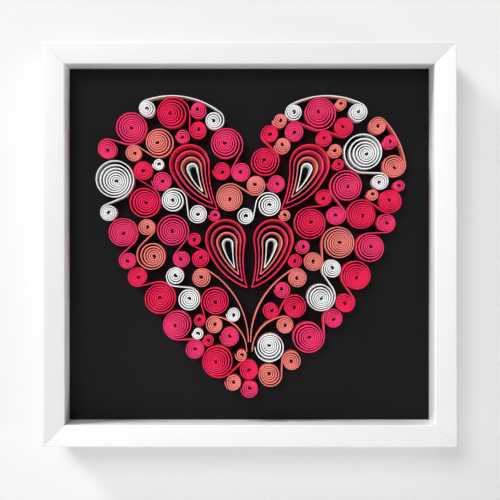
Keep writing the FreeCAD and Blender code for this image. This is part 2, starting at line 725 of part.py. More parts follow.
def main():
    width, height = size("frame_width"), size("frame_height")
    rails = [
        ("rail_bottom", "Sizes.frame_width", Placement()),
        ("rail_top", "Sizes.frame_width",
         Placement(Vector(0, 0, height), Rotation(Vector(0, 1, 0), 180))),
        ("rail_left", "Sizes.frame_height",
         Placement(Vector(-width / 2, 0, height / 2), Rotation(Vector(0, 1, 0), 90))),
        ("rail_right", "Sizes.frame_height",
         Placement(Vector(width / 2, 0, height / 2), Rotation(Vector(0, 1, 0), -90))),
    ]
    nodes = [make_rail(*rail) for rail in rails]
    nodes.append(make_sheet("backing_card", "Sizes.recess - Sizes.frame_depth / 2", "Sizes.card_thickness"))
    nodes.append(make_panel())
    nodes.append(make_tabs([placement for _, _, placement in rails]))
    nodes.append(make_hanger())
    nodes.append(make_nails())
    nodes += make_strips()
    document.recompute()
    for item in document.Objects:
        if "Invalid" in item.State or "Error" in item.State:
            raise RuntimeError(f"{item.Label} did not build: {item.State}")
    for node in nodes:
        if node.Shape.isNull() or not node.Shape.isValid():
            raise RuntimeError(f"{node.Label} has no valid shape")
    os.makedirs("parts", exist_ok=True)
    for node in nodes:
        node.Shape.exportStep(f"parts/{node.Label}.step")
    print(len(nodes), "nodes")


main()
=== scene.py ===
import math
import random

import bpy
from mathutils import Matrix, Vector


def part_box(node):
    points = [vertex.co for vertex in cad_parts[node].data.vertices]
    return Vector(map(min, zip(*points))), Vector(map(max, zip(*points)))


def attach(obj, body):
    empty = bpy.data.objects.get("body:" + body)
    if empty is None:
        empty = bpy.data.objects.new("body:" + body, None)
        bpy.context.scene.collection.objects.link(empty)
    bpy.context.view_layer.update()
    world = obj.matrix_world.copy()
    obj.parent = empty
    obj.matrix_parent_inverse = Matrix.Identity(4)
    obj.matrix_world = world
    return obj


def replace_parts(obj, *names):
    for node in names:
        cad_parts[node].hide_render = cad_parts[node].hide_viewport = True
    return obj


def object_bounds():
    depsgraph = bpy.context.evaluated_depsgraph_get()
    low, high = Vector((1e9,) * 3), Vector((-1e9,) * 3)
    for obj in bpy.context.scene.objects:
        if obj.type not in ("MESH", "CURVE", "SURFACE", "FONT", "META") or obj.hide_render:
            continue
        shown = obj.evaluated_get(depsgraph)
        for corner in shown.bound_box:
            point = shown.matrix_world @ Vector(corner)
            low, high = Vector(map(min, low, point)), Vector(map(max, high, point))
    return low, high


# Quilled paper heart in a deep white box frame, dressed on its CAD frame.
# The layout of the paper is worked out in millimetres and brought to metres when a strip is made.

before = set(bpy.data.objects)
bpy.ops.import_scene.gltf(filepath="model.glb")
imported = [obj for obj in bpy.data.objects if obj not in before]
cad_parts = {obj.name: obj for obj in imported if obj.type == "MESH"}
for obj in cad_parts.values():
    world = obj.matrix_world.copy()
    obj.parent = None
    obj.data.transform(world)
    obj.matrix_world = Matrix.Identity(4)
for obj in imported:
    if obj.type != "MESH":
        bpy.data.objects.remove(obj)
cadBox = [list(corner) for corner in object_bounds()]
scene = bpy.context.scene
mm = 0.001
print("frame loaded:", len(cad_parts), "nodes")


# Materials

def newMaterial(name):
    material = bpy.data.materials.new(name)
    material.use_nodes = True
    tree = material.node_tree
    tree.nodes.clear()
    output = tree.nodes.new("ShaderNodeOutputMaterial")
    shader = tree.nodes.new("ShaderNodeBsdfPrincipled")
    tree.links.new(shader.outputs["BSDF"], output.inputs["Surface"])
    place = tree.nodes.new("ShaderNodeTexCoord")
    return material, tree, shader, place.outputs["Object"]


def addNoise(tree, where, scale, detail, roughness=0.55, stretch=None):
    if stretch:  # finer along one axis than along the others
        mapping = tree.nodes.new("ShaderNodeMapping")
        mapping.inputs["Scale"].default_value = stretch
        tree.links.new(where, mapping.inputs["Vector"])
        where = mapping.outputs["Vector"]
    noise = tree.nodes.new("ShaderNodeTexNoise")
    noise.inputs["Scale"].default_value = scale
    noise.inputs["Detail"].default_value = detail
    noise.inputs["Roughness"].default_value = roughness
    tree.links.new(where, noise.inputs["Vector"])
    return noise.outputs["Fac"]


def addRamp(tree, value, low, high, start=0.3, end=0.7):
    ramp = tree.nodes.new("ShaderNodeValToRGB")
    ramp.color_ramp.elements[0].position = start
    ramp.color_ramp.elements[0].color = (*low, 1)
    ramp.color_ramp.elements[1].position = end
    ramp.color_ramp.elements[1].color = (*high, 1)
    tree.links.new(value, ramp.inputs["Fac"])
    return ramp.outputs["Color"]


def addBump(tree, shader, height, depth, strength):
    bump = tree.nodes.new("ShaderNodeBump")
    bump.inputs["Strength"].default_value = strength
    bump.inputs["Distance"].default_value = depth
    tree.links.new(height, bump.inputs["Height"])
    tree.links.new(bump.outputs["Normal"], shader.inputs["Normal"])


def multiply(tree, first, second):
    mix = tree.nodes.new("ShaderNodeMix")
    mix.data_type = "RGBA"
    mix.blend_type = "MULTIPLY"
    mix.inputs[0].default_value = 1  # 0 is the factor, 6 and 7 are the two colours
    tree.links.new(first, mix.inputs[6])
    tree.links.new(second, mix.inputs[7])
    return mix.outputs[2]


def shade(colour, share):
    return tuple(min(1, channel * share) for channel in colour)


def grey(level):
    return (level, level, level)


paperLook = {
    "colours": {
        "rose": (0.97, 0.03, 0.16),
        "pink": (0.96, 0.008, 0.088),
        "coral": (0.97, 0.225, 0.2),
        "white": (0.92, 0.922, 0.93),
    },
    "edgeHighlight": 1.08,  # painted highlight: the cut edges, which catch the light, are painted a little paler than the walls
    "roughness": 0.82,
    "gloss": 0.25,
    "sheen": 0.08,
    "sheenRoughness": 0.5,
    "cloud": 180,  # patches of tone along a strip, a few millimetres wide
    "cloudTone": (0.93, 1.04),
    "darkestStrip": 0.93,  # each strip has its own slight tone, from this up to 1
    "fibre": 2600,
    "fibreDepth": 0.00004,
    "fibreStrength": 0.5,
}


def paperMaterial(colourName, highlight, suffix):
    # a share above 1 paints the colour paler, a painted highlight for the cut edges
    colour = shade(paperLook["colours"][colourName], highlight)
    material, tree, shader, where = newMaterial(f"{colourName}Paper{suffix}")
    cloud = addNoise(tree, where, paperLook["cloud"], detail=2)
    low, high = paperLook["cloudTone"]
    base = addRamp(tree, cloud, shade(colour, low), shade(colour, high))
    tone = tree.nodes.new("ShaderNodeAttribute")
    tone.attribute_name = "tone"
    toneRamp = addRamp(tree, tone.outputs["Fac"], grey(paperLook["darkestStrip"]), grey(1), 0, 1)
    tree.links.new(multiply(tree, base, toneRamp), shader.inputs["Base Color"])
    fibre = addNoise(tree, where, paperLook["fibre"], detail=5, roughness=0.7)
    addBump(tree, shader, fibre, paperLook["fibreDepth"], paperLook["fibreStrength"])
    shader.inputs["Roughness"].default_value = paperLook["roughness"]
    shader.inputs["Specular IOR Level"].default_value = paperLook["gloss"]
    shader.inputs["Sheen Weight"].default_value = paperLook["sheen"]
    shader.inputs["Sheen Roughness"].default_value = paperLook["sheenRoughness"]
    return material


papers = {}
# each paper has a copy for the walls and a copy painted paler for the cut edges, a painted highlight
for name in paperLook["colours"]:
    papers[name] = (paperMaterial(name, 1, "Wall"), paperMaterial(name, paperLook["edgeHighlight"], "HighlitEdge"))

lacquerLook = {
    "colour": (0.79, 0.8, 0.812),
    "cloud": 60,
    "cloudTone": 0.985,
    "roughness": (0.38, 0.5),
    "gloss": 0.4,
    "coat": 0.12,
    "coatRoughness": 0.3,
    "grain": 900,
    "grainDepth": 0.00003,
    "grainStrength": 0.35,
}


def lacquerMaterial():
    material, tree, shader, where = newMaterial("whiteLacquer")
    cloud = addNoise(tree, where, lacquerLook["cloud"], detail=3)
    colour = lacquerLook["colour"]
    base = addRamp(tree, cloud, shade(colour, lacquerLook["cloudTone"]), colour)
    tree.links.new(base, shader.inputs["Base Color"])
    grain = addNoise(tree, where, lacquerLook["grain"], detail=3, roughness=0.6)
    addBump(tree, shader, grain, lacquerLook["grainDepth"], lacquerLook["grainStrength"])
    low, high = lacquerLook["roughness"]
    tree.links.new(addRamp(tree, cloud, grey(low), grey(high)), shader.inputs["Roughness"])
    shader.inputs["Specular IOR Level"].default_value = lacquerLook["gloss"]
    shader.inputs["Coat Weight"].default_value = lacquerLook["coat"]
    shader.inputs["Coat Roughness"].default_value = lacquerLook["coatRoughness"]
    return material


cardLook = {
    "colour": (0.0068, 0.0068, 0.0074),
    "cloud": 22,
    "cloudTone": (0.86, 1.12),
    "roughness": 0.88,
    "gloss": 0.2,
    "tooth": 1500,  # the fine tooth of black art card
    "toothDepth": 0.00006,
    "toothStrength": 0.6,
}


def cardMaterial():
    material, tree, shader, where = newMaterial("blackCard")
    cloud = addNoise(tree, where, cardLook["cloud"], detail=3)
    low, high = cardLook["cloudTone"]
    base = addRamp(tree, cloud, shade(cardLook["colour"], low), shade(cardLook["colour"], high))
    tree.links.new(base, shader.inputs["Base Color"])
    tooth = addNoise(tree, where, cardLook["tooth"], detail=6, roughness=0.75)
    addBump(tree, shader, tooth, cardLook["toothDepth"], cardLook["toothStrength"])
    shader.inputs["Roughness"].default_value = cardLook["roughness"]
    shader.inputs["Specular IOR Level"].default_value = cardLook["gloss"]
    return material


boardLook = {
    "light": (0.47, 0.31, 0.19),
    "dark": (0.33, 0.205, 0.12),
    "roughness": 0.8,
    "gloss": 0.25,
    "cloud": 14,
    "cloudTone": 0.88,
    "fibre": 420,
    "fibreSpread": (0.32, 0.68),
    "fibreDepth": 0.0002,
    "fibreStrength": 0.5,
}


def boardMaterial():
    material, tree, shader, where = newMaterial("hardboard")
    fibre = addNoise(tree, where, boardLook["fibre"], detail=7, roughness=0.7)
    base = addRamp(tree, fibre, boardLook["dark"], boardLook["light"], *boardLook["fibreSpread"])
    cloud = addNoise(tree, where, boardLook["cloud"], detail=2)
    cloudRamp = addRamp(tree, cloud, grey(boardLook["cloudTone"]), grey(1))
    tree.links.new(multiply(tree, base, cloudRamp), shader.inputs["Base Color"])
    addBump(tree, shader, fibre, boardLook["fibreDepth"], boardLook["fibreStrength"])
    shader.inputs["Roughness"].default_value = boardLook["roughness"]
    shader.inputs["Specular IOR Level"].default_value = boardLook["gloss"]
    return material


steelLook = {
    "colour": (0.6, 0.585, 0.55),
    "darkest": 0.85,
    "roughness": (0.28, 0.45),
    "brush": 500,
    "brushStretch": (0.15, 1, 2.5),
    "brushDepth": 0.00003,
    "brushStrength": 0.4,
}


def steelMaterial():
    material, tree, shader, where = newMaterial("platedSteel")
    brush = addNoise(tree, where, steelLook["brush"], detail=4, stretch=steelLook["brushStretch"])
    colour = steelLook["colour"]
    base = addRamp(tree, brush, shade(colour, steelLook["darkest"]), colour)
    tree.links.new(base, shader.inputs["Base Color"])
    low, high = steelLook["roughness"]
    tree.links.new(addRamp(tree, brush, grey(low), grey(high)), shader.inputs["Roughness"])
    addBump(tree, shader, brush, steelLook["brushDepth"], steelLook["brushStrength"])
    shader.inputs["Metallic"].default_value = 1.0
    return material


print("materials made")


# Box frame, card, panel and fittings: the CAD solids with their edges eased

fittings = {
    "railEase": 0.00022,
    "cardEase": 0.00012,
    "panelEase": 0.00025,
    "steelEase": 0.00012,
    "easeSteps": 2,
    "sharpAngle": math.radians(35),  # edges sharper than this are eased
    "flatAngle": math.radians(0.5),  # faces that turn less than this become one
    "smoothAngle": math.radians(25),
    "mergeWithin": 1e-6,
}


def selectOnly(piece):
    bpy.ops.object.select_all(action="DESELECT")
    piece.select_set(True)
    bpy.context.view_layer.objects.active = piece


def dressSolid(nodeName, pieceName, ease, material):
    # a merged copy of the solid, so that its edges can be bevelled
    piece = bpy.data.objects.new(pieceName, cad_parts[nodeName].data.copy())
    scene.collection.objects.link(piece)
    selectOnly(piece)
    bpy.ops.mesh.customdata_custom_splitnormals_clear()
    bpy.ops.object.mode_set(mode="EDIT")
    bpy.ops.mesh.select_all(action="SELECT")
    bpy.ops.mesh.remove_doubles(threshold=fittings["mergeWithin"])
    bpy.ops.mesh.dissolve_limited(angle_limit=fittings["flatAngle"])
    bpy.ops.object.mode_set(mode="OBJECT")
    bevel = piece.modifiers.new("ease", "BEVEL")
    bevel.width = ease
    bevel.segments = fittings["easeSteps"]
    bevel.limit_method = "ANGLE"
    bevel.angle_limit = fittings["sharpAngle"]
    bevel.use_clamp_overlap = True
    bpy.ops.object.modifier_apply(modifier="ease")
    bpy.ops.object.shade_smooth_by_angle(angle=fittings["smoothAngle"])
    piece.data.materials.clear()
    piece.data.materials.append(material)
    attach(piece, "root")
    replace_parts(piece, nodeName)


lacquer = lacquerMaterial()
for side in ("bottom", "top", "left", "right"):
    dressSolid(f"rail_{side}", f"frameRail_{side}", fittings["railEase"], lacquer)
dressSolid("backing_card", "blackBackingCard", fittings["cardEase"], cardMaterial())
dressSolid("back_panel", "hardboardPanel", fittings["panelEase"], boardMaterial())
steel = steelMaterial()
steelPieces = {
    "retaining_tabs": "retainingTabs",
    "sawtooth_hanger": "sawtoothHanger",
    "hanger_nails": "hangerNails",
}
for nodeName, pieceName in steelPieces.items():
    dressSolid(nodeName, pieceName, fittings["steelEase"], steel)
print("frame, card and fittings dressed")


# Layout of the quilling: the same rules as the solids, in millimetres.
# Points are (x, z), x from the middle line and z from the heart's tip.
# A coil is (x, z, radius), an arc (centre, radius, start, end), a line (start, end).

heartPlan = {
    "drop": 96,  # the tip below the frame's middle
    "lobeRadius": 49.5,
    "lobeOffset": 48.5,
    "lobeRise": 139.5,
    "sideRadius": 200,
    "tipRadius": 16,
    "clearance": 0.2,  # between neighbouring strips
    "neckGap": 2.6,  # between the two coils of one scroll
    "paper": 0.4,
    "touch": 0.001,
    "neckShares": (0, 0.25, 0.5, 0.75, 1),  # where a neck is tested for room
}

coilSizes = {
    "widest": 13,
    "large": 10.5,
    "broad": 9.5,
    "medium": 7.5,
    "small": 6.2,
    "slim": 5.5,
    "tiny": 4.6,
    "bead": 3.8,
}

scrollPlan = {
    "pairs": [("large", "small"), ("broad", "slim"), ("medium", "small"), ("large", "small"),
              ("small", "broad"), ("broad", "small"), ("medium", "broad"), ("large", "slim"),
              ("large", "small"), ("widest", "slim"), ("broad", "slim"), ("small", "large"),
              ("broad", "small"), ("large", "small")],
    "fillers": ("slim", "tiny", "bead"),
    "shrink": (1, 0.85, 0.7, 0.55),  # a coil that finds no room is tried smaller
    "shares": {"rose": 1, "pink": 1, "coral": 0.85, "white": 0.55},
    "separate": 23,  # the largest ones are pieces of their own
}

fanPlan = {
    "fans": [("middle", 24, 1.6, 69), ("lobe", 32, 20, 118)],  # name, lean in degrees, split, rise
    "colours": ("pink", "rose", "coral", "white"),
    "turn": math.radians(8),  # the feet of a fan's drops lie this far off its lean
    "fill": (1, 0.75, 0.5, 0.25),  # shares along a drop that are kept free of coils
    "drops": 4,
    "length": 33,
    "head": 12.3,
    "step": 3,  # what each next head is smaller
    "tip": 4.8,  # and its foot further up
    "back": 1.1,  # and its head further down
    "backRadius": 40,
    "bellyRadius": 60,
}

# name, sweep in degrees, coil, split, rise, bend
stemPlan = [("outer", 60, "small", 0.7, 35, 52), ("inner", 84, "slim", 1.7, 29, 22)]

# side, name, colour, start and end in degrees from the top of the lobe, first and second coil
archPlan = [
    (-1, "left", "white", -38, 20, "small", "slim"),
    (1, "right", "white", -28, 26, "slim", "small"),
    (1, "right_shoulder", "coral", 46, 82, "slim", "medium"),
]

halfPaper = heartPlan["paper"] / 2


def polar(centre, radius, angle):
    return (centre[0] + radius * math.cos(angle), centre[1] + radius * math.sin(angle))


def distance(a, b):
    return math.hypot(a[0] - b[0], a[1] - b[1])


def heading(a, b):
    return math.atan2(b[1] - a[1], b[0] - a[0])


def shortTurn(start, end):
    return start + (end - start + math.pi) % (2 * math.pi) - math.pi


def meet(a, reachA, b, reachB):
    apart = distance(a, b)
    if not abs(reachA - reachB) < apart < reachA + reachB:
        return []
    along = (apart ** 2 + reachA ** 2 - reachB ** 2) / (2 * apart)
    aside = math.acos(max(-1, min(along / reachA, 1)))
    return [polar(a, reachA, heading(a, b) + aside), polar(a, reachA, heading(a, b) - aside)]


def lineDistance(point, start, end):
    run = (end[0] - start[0], end[1] - start[1])
    along = (point[0] - start[0]) * run[0] + (point[1] - start[1]) * run[1]
    share = along / (run[0] ** 2 + run[1] ** 2)
    share = min(max(share, 0), 1)
    return distance(point, (start[0] + share * run[0], start[1] + share * run[1]))


def arcDistance(point, centre, radius, start, end):
    if (heading(centre, point) - min(start, end)) % (2 * math.pi) <= abs(end - start):
        return abs(distance(point, centre) - radius)
    return min(distance(point, polar(centre, radius, angle)) for angle in (start, end))


class Strip:
    def __init__(self, colour, name="", arcs=(), lines=(), coils=()):
        self.colour, self.name = colour, name
        self.arcs, self.lines, self.coils = arcs, lines, coils

    def bulk(self):
        return max(coil[1] for coil in self.coils)


class Heart:
    def __init__(self):
        lobe, tip = (heartPlan["lobeOffset"], heartPlan["lobeRise"]), (0, heartPlan["tipRadius"])
        lobeRadius, tipRadius = heartPlan["lobeRadius"], heartPlan["tipRadius"]
        sideRadius = heartPlan["sideRadius"]
        side = meet(tip, sideRadius - tipRadius, lobe, sideRadius - lobeRadius)[0]
        tipEnd, sideEnd = heading(side, tip), heading(side, lobe)
        lobeEnd = math.pi - math.acos(lobe[0] / lobeRadius)
        self.lobe, self.lobeRadius = lobe, lobeRadius
        self.cleft = polar(lobe, lobeRadius, lobeEnd)
        self.edge = [(tip, tipRadius, -math.pi / 2, tipEnd), (side, sideRadius, tipEnd, sideEnd),
                     (lobe, lobeRadius, sideEnd, lobeEnd)]
        self.coils, self.lines, self.arcs, self.strips = [], [], [], []

    def colourFor(self, coil):
        # the colour whose next coil is furthest off, by its share; the widest coil is white
        def scarcity(colour):
            like = [distance(coil, other[0]) for strip in self.strips for other in strip.coils
                    if strip.colour == colour]
            return scrollPlan["shares"][colour] * min(like + [self.lobeRadius])
        if coil[2] > coilSizes["large"]:
            return "white"
        return max(scrollPlan["shares"], key=scarcity)

    def room(self, point):
        # how far inside the heart's edge a point lies
        point = (abs(point[0]), point[1])
        found = [distance(point, self.cleft)]
        for centre, radius, start, end in self.edge:
            if start <= heading(centre, point) <= end:
                found.append(radius - distance(point, centre))
        return min(found)

    def clear(self, point, radius, beside):
        gap = heartPlan["clearance"] - heartPlan["touch"]
        if self.room(point) < radius - heartPlan["touch"]:
            return False
        others = [coil for coil in self.coils if coil != beside]
        if any(distance(point, coil) < radius + coil[2] + gap for coil in others):
            return False
        return self.stripDistance(point) > radius + halfPaper + gap

    def stripDistance(self, point):
        lines = [lineDistance(point, *line) for line in self.lines]
        return min(lines + [arcDistance(point, *arc) for arc in self.arcs])

    def spots(self, radius, first, gap):
        # places for a coil beside the first one that also touch the edge, another coil or an arc
        reach = first[2] + radius + gap
        rims = [((sign * centre[0], centre[1]), rim - radius) for centre, rim, _, _ in self.edge
                for sign in (1, -1)]
        rims += [(coil, coil[2] + radius + heartPlan["clearance"]) for coil in self.coils
                 if coil != first and distance(coil, first) < coil[2] + 2 * radius + reach]
        beside = radius + halfPaper + heartPlan["clearance"]
        rims += [(arc[0], arc[1] + side * beside) for arc in self.arcs for side in (1, -1)]
        found = [point for centre, rim in rims for point in meet(first, reach, centre, rim)]
        return [point + (radius,) for point in found if self.clear(point, radius, first)]

    def neckRoom(self, one, other, spin):
        (start, end), _ = neck(one, other, spin)
        taken = halfPaper + heartPlan["clearance"]
        coils = [lineDistance(coil, start, end) - coil[2] for coil in self.coils
                 if coil not in (one, other)]
        run = (end[0] - start[0], end[1] - start[1])
        points = [(start[0] + share * run[0], start[1] + share * run[1])
                  for share in heartPlan["neckShares"]]
        strips = [self.stripDistance(point) - halfPaper for point in points]
        corners = [lineDistance(point, start, end) - halfPaper for line in self.lines for point in line]
        return min(coils + strips + corners) - taken

    def outermost(self, radius, firsts, gap, necked=False):
        found = [(round(self.room(coil), 3), coil)
                 for first in firsts for coil in self.spots(radius, first, gap)
                 if not necked or max(self.neckRoom(first, coil, spin) for spin in (1, -1)) > 0]
        return min(found)[1] if found else None

    def layScroll(self, one, other):
        spin = max((1, -1), key=lambda way: self.neckRoom(one, other, way))
        line, leave = neck(one, other, spin)
        coils = [(one, one[2] - halfPaper, leave, spin),
                 (other, other[2] - halfPaper, leave + math.pi, spin)]
        self.coils.append(other)
        self.lines.append(line)
        self.strips.append(Strip(self.colourFor(one), lines=[line], coils=coils))

    def laySingle(self, coil, name=""):
        coils = [(coil, coil[2] - halfPaper, math.pi, 1)]
        self.strips.append(Strip(self.colourFor(coil), name, coils=coils))


def neck(one, other, spin):
    # the straight stretch between two coils of one strip, and the angle at which it leaves the first
    lean = math.acos((one[2] + other[2] - heartPlan["paper"]) / distance(one, other))
    leave = heading(one, other) + spin * lean
    start = polar(one, one[2] - halfPaper, leave)
    return (start, polar(other, other[2] - halfPaper, leave + math.pi)), leave


def layFans(heart):
    drops = []
    for fan, degrees, split, rise in fanPlan["fans"]:
        for side, word in ((1, "right"), (-1, "left")):
            base = (side * split, rise)
            lean = math.pi / 2 - side * math.radians(degrees)
            for index in range(fanPlan["drops"]):
                foot = polar(base, index * fanPlan["tip"], lean - side * fanPlan["turn"])
                head = polar(base, fanPlan["length"] - index * fanPlan["back"], lean)
                radius = fanPlan["head"] - index * fanPlan["step"]
                colour = fanPlan["colours"][index % len(fanPlan["colours"])]
                drops.append((colour, f"{fan}_{word}_{index + 1}", foot, head, radius, side))
                if index == 0:
                    keepFree(heart, foot, head, radius, side)
    return drops


def keepFree(heart, foot, head, radius, side):
    bends = (fanPlan["backRadius"], fanPlan["bellyRadius"])
    for centre, bend in zip(dropSides(foot, head, radius, side), bends):
        start = heading(centre, foot)
        heart.arcs.append((centre, bend, start, shortTurn(start, heading(centre, head))))
    for share in fanPlan["fill"]:
        along = share * distance(foot, head)
        spot = polar(foot, along, heading(foot, head))
        heart.coils.append(spot + (share * (radius + halfPaper),))


def dropSides(foot, head, radius, side):
    # centres of a drop's two sides: its back bulges, its belly is hollow
    way = 0 if side > 0 else 1
    back = meet(foot, fanPlan["backRadius"], head, fanPlan["backRadius"] - radius)[way]
    belly = meet(foot, fanPlan["bellyRadius"], head, fanPlan["bellyRadius"] + radius)[way]
    return back, belly


def layStems(heart):
    for side, word in ((1, "right"), (-1, "left")):
        for name, sweep, coilName, split, rise, bend in stemPlan:
            coil = coilSizes[coilName]
            centre = (side * (split + bend), rise)
            start = math.pi / 2 + side * math.pi / 2
            end = start - side * math.radians(sweep)
            bud = polar(centre, bend + halfPaper - coil, end) + (coil,)
            heart.coils.append(bud)
            arc = (centre, bend, start, end)
            heart.arcs.append(arc)
            heart.strips.append(Strip("coral", f"{name}_stem_{word}", arcs=[arc],
                                      coils=[(bud, coil - halfPaper, end, -side)]))


def layArches(heart):
    radius = heart.lobeRadius - halfPaper
    for side, name, colour, start, end, first, second in archPlan:
        centre = (side * heart.lobe[0], heart.lobe[1])
        turns = [math.pi / 2 - side * math.radians(angle) for angle in (start, end)]
        coils = []
        for turn, coilName, spin in zip(turns, (first, second), (side, -side)):
            coil = coilSizes[coilName]
            bud = polar(centre, heart.lobeRadius - coil, turn) + (coil,)
            heart.coils.append(bud)
            coils.append((bud, coil - halfPaper, turn, spin))
        arc = (centre, radius, *turns)
        heart.arcs.append(arc)
        heart.strips.append(Strip(colour, f"arch_{name}", arcs=[arc], coils=coils))


def layFill(heart):
    # the tip's coil as low as it fits, then pairs of coils from the edge inwards, then single ones
    low, high = 0, heart.cleft[1] / 2
    while high - low > heartPlan["touch"]:
        middle = (low + high) / 2
        fits = heart.room((0, middle)) > coilSizes["slim"]
        low, high = (low, middle) if fits else (middle, high)
    heart.coils.append((0, high, coilSizes["slim"]))
    heart.laySingle(heart.coils[-1], "tip_coil")
    one = True
    while one:
        pair = scrollPlan["pairs"][len(heart.strips) % len(scrollPlan["pairs"])]
        first, second = (coilSizes[name] for name in pair)
        one = fitCoil(heart, first, heart.coils, heartPlan["clearance"])
        if one:
            heart.coils.append(one)
            other = fitCoil(heart, second, [one], heartPlan["neckGap"], necked=True)
            if other:
                heart.layScroll(one, other)
            else:
                heart.laySingle(one)
    for name in scrollPlan["fillers"]:
        radius = coilSizes[name]
        coil = heart.outermost(radius, heart.coils, heartPlan["clearance"])
        while coil:
            heart.coils.append(coil)
            heart.laySingle(coil)
            coil = heart.outermost(radius, heart.coils, heartPlan["clearance"])


def fitCoil(heart, radius, firsts, gap, necked=False):
    for share in scrollPlan["shrink"]:
        coil = heart.outermost(radius * share, firsts, gap, necked)
        if coil:
            return coil
    return None


heart = Heart()
drops = layFans(heart)
layStems(heart)
layArches(heart)
layFill(heart)
unnamed = [strip for strip in heart.strips if not strip.name]
largest = sorted(unnamed, key=Strip.bulk, reverse=True)[:scrollPlan["separate"]]
for number, strip in enumerate(largest, start=1):
    strip.name = f"scroll_{number:02d}"
print("heart laid out:", len(heart.strips), "strips and", len(drops), "drops")


# Paper strips: a line of points, extruded to the strip's height and given its thickness

stripLook = {
    "height": 10,
    "thickness": 0.72,  # of the inner turns, whose edges are pressed broader by the rolling
    "rimThickness": 0.5,  # of a coil's outer turn, necks, stems and drops
    "thickFrom": 0.1,  # share of the way to the eye where the turns begin to get broader
    "thickTo": 0.3,
    # what the outer half turn loses, as a share of the coil's radius
    "pitch": {"rose": 0.088, "pink": 0.088, "coral": 0.096, "white": 0.115},
    "pitchRange": (0.85, 1.25),
    "leastRimPitch": 0.54,
    "leastPitch": (0.49, 0.57),  # what the innermost half turn loses
    "tightening": 1.5,  # how soon the turns close up on the way in
    "uneven": 0.19,  # how far a coil's eye may be pushed off centre, share of radius
    "unevenRange": (0.3, 1),
    "eye": 1.05,
    "arcStep": 0.85,  # length of a step along a curve
    "mostTurn": math.radians(18),  # a step turns by no more than this
    "leastTurn": math.radians(6),  # and no less, or half of it on stems and drops
    "sink": (0, 0.6),  # how much further back than its rim a coil's middle lies
    "flare": 1.3,  # what the card end of a drop's head is drawn in
    "wave": 0.2,  # the cut edges don't lie in one plane
    "waveLength": 11,
    "beatLength": 3.7,  # a second wave, so that no two stretches are alike
    "phaseRange": (0, 6),
    "smoothAngle": math.radians(40),
}

draw = random.Random(7)
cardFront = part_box("backing_card")[0].y
halfway = cardFront - stripLook["height"] * mm / 2  # between a strip's card end and its front edge
tipHeight = (cadBox[1][2] + cadBox[0][2]) / 2 - heartPlan["drop"] * mm


def arcPoints(centre, radius, start, end):
    # a point of a strip's line is (x, z, how far its front edge sinks back, thickness there)
    step = min(max(stripLook["arcStep"] / radius, stripLook["leastTurn"] / 2), stripLook["mostTurn"])
    count = max(2, math.ceil(abs(end - start) / step))
    angles = [start + (end - start) * index / count for index in range(count + 1)]
    return [polar(centre, radius, angle) + (0, stripLook["rimThickness"]) for angle in angles]


def breadth(share):
    rim, full = stripLook["rimThickness"], stripLook["thickness"]
    grown = (share - stripLook["thickFrom"]) / (stripLook["thickTo"] - stripLook["thickFrom"])
    return rim + min(max(grown, 0), 1) * (full - rim)


def coilPoints(centre, radius, start, spin, colour):
    # a spiral from rim to eye, whose turns close up and wander off the middle on the way in
    outer = stripLook["pitch"][colour] * radius * draw.uniform(*stripLook["pitchRange"])
    outer = max(outer, stripLook["leastRimPitch"])
    inner = draw.uniform(*stripLook["leastPitch"])
    push = draw.uniform(*stripLook["unevenRange"]) * stripLook["uneven"]
    lean = draw.uniform(0, 2 * math.pi)
    sink = draw.uniform(*stripLook["sink"])
    points = []
    reach, angle = radius, start
    while reach > stripLook["eye"]:
        share = (radius - reach) / radius
        middle = polar(centre, push * radius * share * (2 - share), lean)
        points.append(polar(middle, reach, angle) + (sink * share ** 2, breadth(share)))
        step = min(max(stripLook["arcStep"] / reach, stripLook["leastTurn"]), stripLook["mostTurn"])
        angle += spin * step
        loss = inner + (outer - inner) * (1 - share) ** stripLook["tightening"]
        reach -= loss * step / math.pi
    return points


def stripPoints(strip):
    # from the eye of one coil, or a free end, to the eye of the other
    ends = [coilPoints(*coil, strip.colour) for coil in strip.coils]
    middle = []
    for arc in strip.arcs:
        middle = arcPoints(*arc)
    for start, end in strip.lines:
        middle = [start, end]  # both are the coils' own first points
    if len(ends) == 2:
        return ends[0][::-1] + middle[1:-1] + ends[1]
    return middle[:-1] + ends[0]


def dropPoints(foot, head, radius, side):
    back, belly = dropSides(foot, head, radius, side)
    backEnd, bellyEnd = heading(back, head), heading(belly, head)
    over = backEnd + side * ((side * (bellyEnd + math.pi - backEnd)) % (2 * math.pi))
    backStart = shortTurn(backEnd, heading(back, foot))
    bellyStart = shortTurn(bellyEnd, heading(belly, foot))
    return (arcPoints(back, fanPlan["backRadius"], backStart, backEnd)
            + arcPoints(head, radius, backEnd, over)[1:]
            + arcPoints(belly, fanPlan["bellyRadius"], bellyEnd, bellyStart)[1:])


